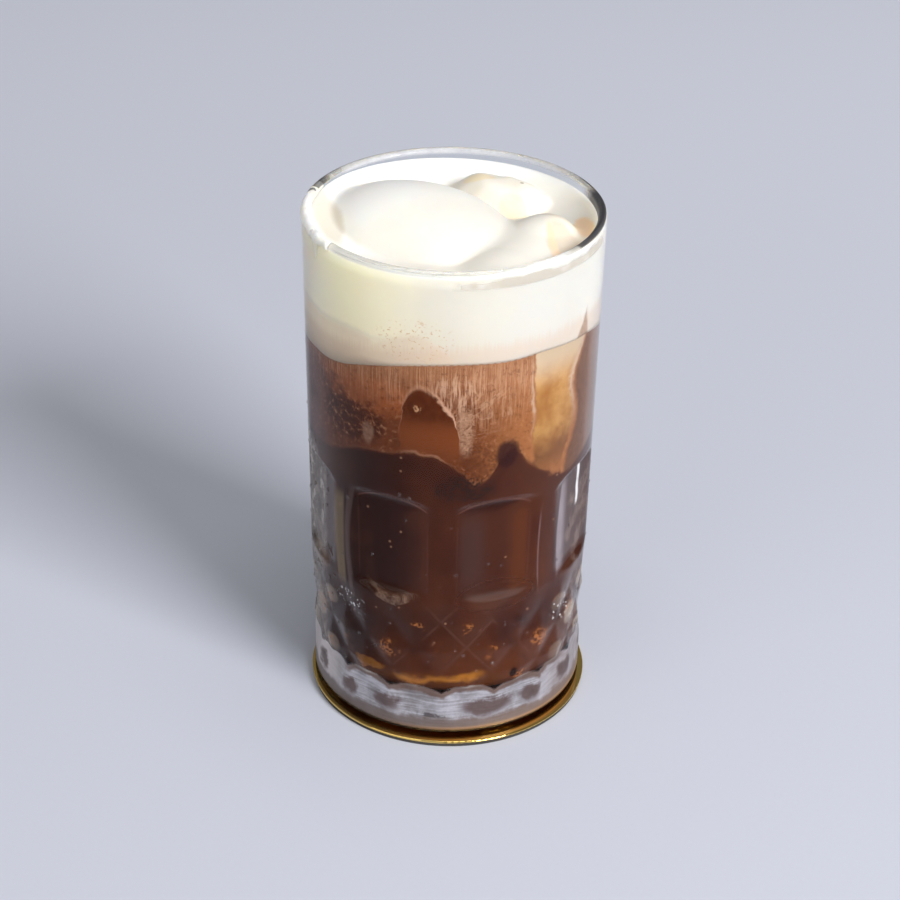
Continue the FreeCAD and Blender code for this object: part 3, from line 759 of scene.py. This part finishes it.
# A dark pocket of clear drink left of the middle, with a milky rim on its right shoulder.
POCKET_EDGE = (
    [(-180, 60), (-21.5, 60), (-20, 96), (-18.6, 106), (-16, 109.5), (-13, 112), (-9.5, 112)]
    + [(-6, 110), (-3, 107.5), (0, 105.5), (2.5, 103), (4, 96), (6, 60), (180, 60)]
)
POCKET_HIGH, POCKET_LOW = (0.056, 0.0105, 0.0020), (0.150, 0.0390, 0.0110)
POCKET_GRAIN, POCKET_RIM = (0.135, 0.0340, 0.0090), (0.50, 0.29, 0.19)
POCKET_FLECK, FRINGE = (0.38, 0.20, 0.10), (0.34, 0.165, 0.095)
FLECK = (-12.5, 106, 2.2, 1.2)
over_pocket = level - outline_of(angle, POCKET_EDGE)
in_pocket = over_pocket.rise(0.8, -0.8) * height.rise(90, 96)
pocket_colour = layered(
    blend(height.rise(105, 98), POCKET_HIGH, POCKET_LOW),
    (fine.rise(0.42, 0.62) * 0.4, POCKET_GRAIN),
)
pocket_rim = over_pocket.band(-0.2, 1.1, 0.8) * height.rise(95, 100)
fringe = angle.band(-18, -2, 3) * 0.75 + angle.band(-44, 44, 6) * 0.15
tan = layered(
    tan,
    (in_pocket, pocket_colour),
    (pocket_rim * (angle.rise(-9, 0) * 0.85 + 0.25), POCKET_RIM),
    (spot(angle, level, *FLECK) * foam.rise(0.5, 0.6), POCKET_FLECK),
    (over_edge.band(0.2, 0.9, 0.6) * fringe, FRINGE),
)

# A golden pocket at the right, between two lines of cream; rust and grey beyond it.
AMBER_SIDE = (  # height, degrees
    [(-180, 48), (80, 48), (86, 49), (92, 54.5), (98, 54), (103, 52), (108, 50.5), (112, 53)]
    + [(117, 58), (122, 62), (180, 62)]
)
AMBER_FROM, AMBER_LINE_AT = 33.4, 32.4
AMBER_DEEP, AMBER_BRIGHT = (0.29, 0.125, 0.034), (0.44, 0.235, 0.080)
AMBER_LOW, AMBER_GRAIN = (0.142, 0.054, 0.021), (0.085, 0.032, 0.014)
AMBER_CREAM = (0.44, 0.35, 0.255)
AMBER_LINE, CREAM_LINE = (0.50, 0.37, 0.27), (0.50, 0.385, 0.29)
RUST_DEEP, RUST_PALE, FAR_GREY = (0.050, 0.018, 0.008), (0.170, 0.078, 0.042), (0.165, 0.115, 0.100)
past_amber = angle - outline_of(height, AMBER_SIDE)
in_amber = (angle - AMBER_FROM).rise(-0.5, 0.7) * past_amber.rise(0.9, -0.9) * level.rise(79, 88)
amber = layered(
    blend((drift + 0.5).rise(0.3, 0.68), AMBER_DEEP, AMBER_BRIGHT),
    (level.rise(99, 86) * 0.9, AMBER_LOW),
    (height.rise(107, 118) * 0.85, AMBER_CREAM),
    (fine.rise(0.5, 0.34) * level.rise(100, 84) * 0.5, AMBER_GRAIN),
)
amber_line = (angle - AMBER_LINE_AT + (height - 105) * 0.03).band(-0.4, 0.3, 0.8)
amber_line = amber_line * height.band(97, 117, 5)
cream_line = (past_amber + (fine - 0.5) * 3).band(-0.2, 1.5, 1.3) * height.rise(90, 108)
rusty = (past_amber - 3).rise(-1.2, 1.6) * angle.rise(70, 63)
tan = layered(
    tan,
    (in_amber, amber),
    (amber_line * (marble * 1.8 - 0.2), AMBER_LINE),
    (cream_line * 0.85, CREAM_LINE),
    (rusty * 0.9, blend(fine, RUST_DEEP, RUST_PALE)),
    (angle.rise(63, 70) * 0.85, FAR_GREY),
)

# Where the cloud meets the dark, a painted shadow lies under it, with a bubbly patch and one dark
# blob.
BUBBLY, BLOB = (6, 81.5, 12.5, 4.0, 0.5), (22.4, 91.6, 4.4, 4.2, 0.5)
CLOUD_SHADOW, BLOB_DARK = (0.030, 0.0085, 0.0045), (0.026, 0.0068, 0.0060)
BUBBLE_DARK = (0.013, 0.0075, 0.0070)
cloud_shadow = over_edge.band(-5.5, -1.5, 2.5) * angle.band(-40, 30, 8)
bubbly = spot(angle, level - slow * 3, *BUBBLY) * foam.rise(0.58, 0.44)
colour = layered(
    blend(clouded, dark, tan),
    (cloud_shadow * 0.45, CLOUD_SHADOW),
    (bubbly * 0.85, BUBBLE_DARK),
    (spot(angle, level, *BLOB) * 0.93, BLOB_DARK),
)
root_beer = close(
    surface(
        tree,
        Base_Color=colour,
        Roughness=0.6,
        IOR=1.12,
        Specular_IOR_Level=0.0,
    )
)
finish(made, "root_beer_column", ["root_beer", "creamy_layer"], root_beer)


# The cream head and the ice cream: thick cream poured over scoops of vanilla ice cream, which
# stand out of it as soft mounds. The cream dips between them and clings to the glass.
RIM_LEVEL = HEIGHT
SCOOPS = (
    # middle x, y, half length, half width, half height, top above the rim, turn in degrees
    (-8.5, 2.0, 27.6, 20.0, 11.0, 2.2, -38.0),
    (12.0, 21.0, 15.5, 9.0, 8.0, -1.4, -26.0),
    (24.0, -5.5, 8.5, 8.0, 8.0, -0.4, 30.0),
)


def mound(x, y, scoop):
    """Height of one scoop's top over the rim at x, y; far below where it isn't."""
    cx, cy, length, width, tall, top, turned = scoop
    c, s = math.cos(math.radians(turned)), math.sin(math.radians(turned))
    u = ((x - cx) * c + (y - cy) * s) / length
    v = (-(x - cx) * s + (y - cy) * c) / width
    inside = 1 - u * u - v * v
    return top - tall + tall * (math.sqrt(inside) if inside > 0 else inside * 2)


def swell(x, y):
    """Height of the low ridge that joins the side scoop to the front one, along the right."""
    start, end = Vector((21.0, -8.0)), Vector((15.0, -20.0))
    along = min(max((Vector((x, y)) - start).dot(end - start) / (end - start).length_squared, 0), 1)
    off = (Vector((x, y)) - start.lerp(end, along)).length
    return -1.7 - 1.1 * along - (off / 6.4) ** 2


def cream_top(x, y):
    """Height of the cream and ice cream over the rim at x, y in mm."""
    share = min(math.hypot(x, y) / BORE_RIM, 1.0)
    dip_at = math.radians(145)
    away = (x * math.sin(dip_at) - y * math.cos(dip_at)) / BORE_RIM
    cream = -8.0 + 6.2 * share**5 - 1.2 * max(away, 0)
    cream += 0.7 * noise.noise(Vector((x, y, 0)) * 0.09) * (1 - share**4)
    front, rear, side = (mound(x, y, scoop) for scoop in SCOOPS)
    rear += 0.8 * noise.noise(Vector((x, y, 7.0)) * 0.20)
    side += 0.35 * noise.noise(Vector((x, y, 7.0)) * 0.16)
    height = soft_more(cream, rear, 1.2)
    height = soft_more(height, front, 1.8)
    height = soft_more(height, side, 1.6)
    return soft_more(height, swell(x, y), 2.0)


RINGS, TOP_REACH, HEAD_LOW, SUNK = 74, 37.95, 110, 0.15
rings = [TOP_REACH * (1 - (1 - i / RINGS) ** 1.12) for i in range(1, RINGS + 1)]
section = [(0.0, HEAD_LOW), (18.0, HEAD_LOW)]
section += [(bore_radius(z) + INTO_WALL, z) for z in (HEAD_LOW, 116, 122, 128, 134, 138)]
section += [(r, RIM_LEVEL) for r in reversed(rings)]
section += [(0.0, RIM_LEVEL)]
made = spun(section, 288)
for vertex in made.verts:
    x, y, z = vertex.co.x * 1000, vertex.co.y * 1000, vertex.co.z * 1000 - LIFT
    if z < 111:
        level = head_underside(x, y) - SUNK
        grow = (bore_radius(level) + INTO_WALL) / (bore_radius(HEAD_LOW) + INTO_WALL)
        vertex.co = Vector((x * grow, y * grow, level + LIFT)) / 1000
    elif z < 117:
        low = head_underside(x, y)
        level = max(z, low + 0.6)
        vertex.co.z = (level + LIFT) / 1000
    elif z > 142:
        vertex.co.z = (RIM_LEVEL + cream_top(x, y) + LIFT) / 1000

tree, close = new_material("cream_and_ice_cream")
where, angle, height = around(tree)
soft = grain(tree, where, 55.0, 3.0, 0.5)
wisps = grain(tree, where, 130.0, 4.0, 0.6, 0.6)
specks = grain(tree, where, 1100.0, 2.0, 0.6)
apart = add_node(tree, "ShaderNodeSeparateXYZ", {}, {0: where}).socket.node.outputs
across, along = Flow(tree, apart[0]), Flow(tree, apart[1])
reach = (across * across + along * along) ** 0.5 * 1000

# Its side, seen through the glass: painted paler and yellower on the shaded left and back, and
# greyer where the lamp strikes it, to even out the light; stained by the drink along a wavy lower
# edge, with a brown wedge at the right.
BORE_SLOPE, SIDE_REACH = 0.0304, (33.2, 33.45)
SHADE_SIDE_LOW, SHADE_SIDE_HIGH = (0.94, 0.86, 0.635), (0.98, 0.91, 0.655)
LIT_LOW, LIT_HIGH = (0.595, 0.555, 0.475), (0.615, 0.585, 0.52)
LIT_RIGHT, LIT_EDGE, SHADED_BACK_SIDE = (0.575, 0.56, 0.525), (0.67, 0.65, 0.61), (0.92, 0.87, 0.76)
STAIN_LEFT, STAIN_RIGHT, GREYISH = (0.80, 0.68, 0.53), (0.63, 0.53, 0.42), (0.60, 0.56, 0.50)
SPECK, HEM, SPECKED = (0.50, 0.29, 0.13), (0.56, 0.39, 0.28), (-14, 123, 15, 6, 0.6)
WEDGE_AT, WEDGE_DARK, WEDGE_PALE = 60.5, (0.13, 0.07, 0.04), (0.50, 0.32, 0.20)
on_side = (reach - height * BORE_SLOPE).rise(*SIDE_REACH) * height.rise(141.9, 140.9)
upwards = (height + soft * 16).rise(124, 142)
sideways = angle + soft * 16
lit = layered(
    blend(upwards, LIT_LOW, LIT_HIGH),
    ((angle + soft * 20).rise(14, 44), LIT_RIGHT),
    (sideways.rise(54, 80), LIT_EDGE),
)
stain_top = 122 + angle.rise(-32, -14) * 3.5 - angle.rise(-12, 8) * 10 + (wisps - 0.5) * 3.5
stain = (stain_top - height).rise(-0.7, 1.8) * angle.rise(24, 4)
greyish = (stain_top - height).band(-0.6, 0.6, 0.9) * angle.rise(-18, -36)
specked = specks.rise(0.60, 0.67) * spot(angle, height, *SPECKED)
upright = stretched(tree, angle, height, 1.5, 0.06, 2.0)
hem = (height - upright * 5 - angle.rise(-60, 10) * 5).rise(116.5, 112.5)
wedge = (angle - WEDGE_AT - (height - 113) * 0.3 + (wisps - 0.5) * 4).math("ABSOLUTE")
wedge = (wedge - (height.rise(125, 112) * 5.5)).rise(1.0, -1.0) * height.rise(125.5, 122)
side_colour = layered(
    blend(sideways.rise(-44, 10), blend(upwards, SHADE_SIDE_LOW, SHADE_SIDE_HIGH), lit),
    ((angle - 40).math("ABSOLUTE").rise(75, 120), SHADED_BACK_SIDE),
    (stain * (0.45 + wisps * 0.7), blend(angle.rise(-60, -10), STAIN_LEFT, STAIN_RIGHT)),
    (greyish * 0.35, GREYISH),
    (specked * 0.75, SPECK),
    (hem * 0.4, HEM),
    (wedge * 0.85, blend(specks, WEDGE_DARK, WEDGE_PALE)),
)

# Its top: white cream and vanilla, painted darker on the lamp's side, with patches of painted
# shade, butter yellow and drink stain round the scoops, and two dark specks.
WHITE, VANILLA, TONED_DOWN = (0.985, 0.957, 0.895), (0.95, 0.89, 0.76), (0.80, 0.765, 0.695)
TOP_SHADE_AND_STAIN_PATCHES = (
    # middle x, middle y, half width, half depth, turn in degrees; strength; colour
    ((11, 19, 17, 9, -26), 0.8, (0.82, 0.765, 0.665)),
    ((27, -1, 7, 4, -20), 0.85, (0.60, 0.515, 0.42)),
    ((7, 22.5, 4.5, 2.2, -10), 0.55, (0.93, 0.74, 0.42)),
    ((16, 11, 5, 3.5, -50), 0.5, (0.95, 0.80, 0.55)),
    ((-2.5, 16.5, 3.6, 2.8, 0), 0.8, (0.80, 0.67, 0.40)),
    ((30, -13, 6, 12, 12), 0.6, (0.95, 0.84, 0.68)),
    ((28, -14, 4.5, 7, 10), 0.7, (0.68, 0.58, 0.46)),
    ((25.6, -17, 1.3, 9, 8), 0.6, (0.92, 0.70, 0.45)),
    ((34, -3, 2.6, 8, 6), 0.75, (0.86, 0.60, 0.34)),
    ((-33.5, 1, 4.0, 15, 12), 0.8, (0.72, 0.66, 0.55)),
)
TOP_SPECKS = ((10.4, 27.8, 0.55, 0.45, 0), (18.1, 19.5, 0.55, 0.45, 0))
TOP_SPECK = (0.45, 0.38, 0.30)


def patch(x, y, wide, deep, turned):
    """1 in an oval patch seen from above, at x, y in mm and turned about the axis."""
    c, s = math.cos(math.radians(turned)), math.sin(math.radians(turned))
    u = (across * 1000 - x) * (c / wide) + (along * 1000 - y) * (s / wide)
    v = (across * 1000 - x) * (-s / deep) + (along * 1000 - y) * (c / deep)
    return (u * u + v * v + wisps - 0.5).rise(1.3, 0.5)


lamp_side = (across * 0.6 - along * 0.8) * 1000 + (soft - 0.5) * 16
top_colour = layered(
    blend(soft.rise(0.40, 0.8) * 0.35, WHITE, VANILLA),
    (lamp_side.rise(-14, 12), TONED_DOWN),
    *((patch(*place) * strength, tint) for place, strength, tint in TOP_SHADE_AND_STAIN_PATCHES),
    *((patch(*place), TOP_SPECK) for place in TOP_SPECKS),
)
cream = close(
    surface(
        tree,
        Base_Color=blend(on_side, top_colour, side_colour),
        Roughness=0.5,
        Specular_IOR_Level=0.25,
        Subsurface_Weight=0.6,
        Subsurface_Radius=(1.0, 0.8, 0.55),
        Subsurface_Scale=0.005,
        Normal=bump(tree, soft, 0.0004, 0.3),
    )
)
finish(
    made,
    "cream_and_scoops",
    ["cream_head", "scoop_main", "scoop_rear", "scoop_side"],
    cream,
)


# The smear: cream that was wiped over the rim while pouring. It wraps the rim at the left in a
# thin coat that runs out at both ends, with one short run down the wall.
SMEAR_FROM, SMEAR_TO, COAT = -112.0, -54.0, 0.17
rim_middle = ((RIM_RADIUS + BORE_RIM) / 2, HEIGHT - 1.2)
made = bmesh.new()
loop = bmesh.ops.create_circle(made, segments=20, radius=1.2 / 1000)["verts"]
stand_up = Matrix.Translation(Vector((rim_middle[0], 0, rim_middle[1] + LIFT)) / 1000)
stand_up = Matrix.Rotation(math.radians(SMEAR_FROM - 90), 4, "Z") @ stand_up
stand_up = stand_up @ Matrix.Rotation(math.pi / 2, 4, "X")
bmesh.ops.transform(made, matrix=stand_up, verts=loop)
bmesh.ops.spin(
    made,
    geom=made.verts[:] + made.edges[:],
    cent=(0, 0, 0),
    axis=(0, 0, 1),
    angle=math.radians(SMEAR_TO - SMEAR_FROM),
    steps=72,
)
bmesh.ops.holes_fill(made, edges=made.edges[:], sides=40)
for vertex in made.verts:
    x, y, z = vertex.co.x * 1000, vertex.co.y * 1000, vertex.co.z * 1000 - LIFT
    degrees = math.degrees(math.atan2(x, -y))
    share = (degrees - SMEAR_FROM) / (SMEAR_TO - SMEAR_FROM)
    ends = min(1.0, 4 * share, 4 * (1 - share)) + 0.9 * noise.noise(Vector((x, y, z)) * 0.45)
    rough_coat = 0.6 + 1.4 * noise.noise(Vector((x, y, z)) * 0.25)
    proud = 1 + COAT * (min(ends, 1.0) * (1 + rough_coat) - 0.7) / 1.2
    out = math.hypot(x, y)
    wide = rim_middle[0] + (out - rim_middle[0]) * proud
    tall = rim_middle[1] + (z - rim_middle[1]) * proud
    run = max(0.0, 1 - abs(degrees + 63) / 2.6)
    if z < rim_middle[1]:
        tall -= 5.0 * run * run * (3 - 2 * run) * (rim_middle[1] - z) / 1.2
    vertex.co = Vector((x * wide / out, y * wide / out, tall + LIFT)) / 1000
finish(made, "cream_smear", [], cream)


# Condensation: beads of water on the cold glass, mostly low down and on the shaded flank.
BEADS = 420
rng = random.Random(11)
made = bmesh.new()
while len(made.verts) < BEADS * 42:
    degrees = rng.choice((rng.gauss(-78, 20), rng.uniform(-180, 180)))
    low = rng.triangular(9, 88, 24)
    size = 0.16 + 0.42 * rng.random() ** 3
    turned = math.radians(degrees - 90)
    out = pressed_radius(degrees - 90, low)
    seat = Vector((out * math.cos(turned), out * math.sin(turned), low + LIFT)) / 1000
    lie = Matrix.Translation(seat) @ Matrix.Rotation(turned, 4, "Z")
    squash = Matrix.Diagonal((0.55, 1.0, 1.12 + 0.3 * rng.random(), 1.0))
    bmesh.ops.create_icosphere(made, subdivisions=2, radius=size / 1000, matrix=lie @ squash)
tree, close = new_material("water_beads")
water = close(
    surface(tree, Base_Color=(0.98, 0.99, 1.0), Roughness=0.02, IOR=1.33, Transmission_Weight=1.0)
)
finish(made, "water_beads", [], water)


# The studio: a pale blue-grey sweep that the coaster stands on, one large soft lamp at the right
# front, a weaker one overhead, a faint fill at the left, and a dim even room.
bpy.ops.mesh.primitive_plane_add(size=8.0)
floor = bpy.context.object
floor.name = "floor"
PAPER_DULL, PAPER_PALE = (0.552, 0.572, 0.651), (0.567, 0.587, 0.666)
PAPER_FAR_LIT = (0.64, 0.663, 0.752)
tree, close = new_material("paper_sweep")
where = position(tree)
apart = add_node(tree, "ShaderNodeSeparateXYZ", {}, {0: where}).socket.node.outputs
# The paper is painted paler towards the back, as painted light on the far floor.
paper = layered(
    blend(grain(tree, where, 700.0, 2.0), PAPER_DULL, PAPER_PALE),
    (Flow(tree, apart[1]).rise(0.1, 0.6), PAPER_FAR_LIT),
)
sweep = surface(tree, Base_Color=paper, Roughness=0.9, Specular_IOR_Level=0.1)
floor.data.materials.append(close(sweep))


def soft_lamp(name, aim, azimuth, elevation, distance, across, power, colour=(1, 1, 1)):
    """A square lamp; azimuth runs in degrees from the camera's side towards +X."""
    lamp = bpy.data.lights.new(name, "AREA")
    lamp.shape, lamp.size, lamp.energy, lamp.color = "SQUARE", across, power, colour
    holder = bpy.data.objects.new(name, lamp)
    bpy.context.scene.collection.objects.link(holder)
    a, e = math.radians(azimuth), math.radians(elevation)
    away = Vector((math.sin(a) * math.cos(e), -math.cos(a) * math.cos(e), math.sin(e)))
    holder.location = Vector(aim) + away * distance
    holder.rotation_euler = away.to_track_quat("Z", "Y").to_euler()
    return holder


LAMP_AIM = (0, 0, 0.07)
soft_lamp("soft_box", LAMP_AIM, 44.0, 30.0, 2.41, 0.945, 71.0)
soft_lamp("ceiling", LAMP_AIM, 44.0, 84.0, 2.0, 1.2, 11.5)
soft_lamp("fill", LAMP_AIM, -40.0, 9.0, 2.2, 1.6, 15.0, (1.0, 0.99, 0.97))

world = bpy.data.worlds.new("room")
bpy.context.scene.world = world
world.use_nodes = True
backdrop = world.node_tree.nodes["Background"]
backdrop.inputs[0].default_value = (0.97, 0.98, 1.0, 1)
backdrop.inputs[1].default_value = 0.19
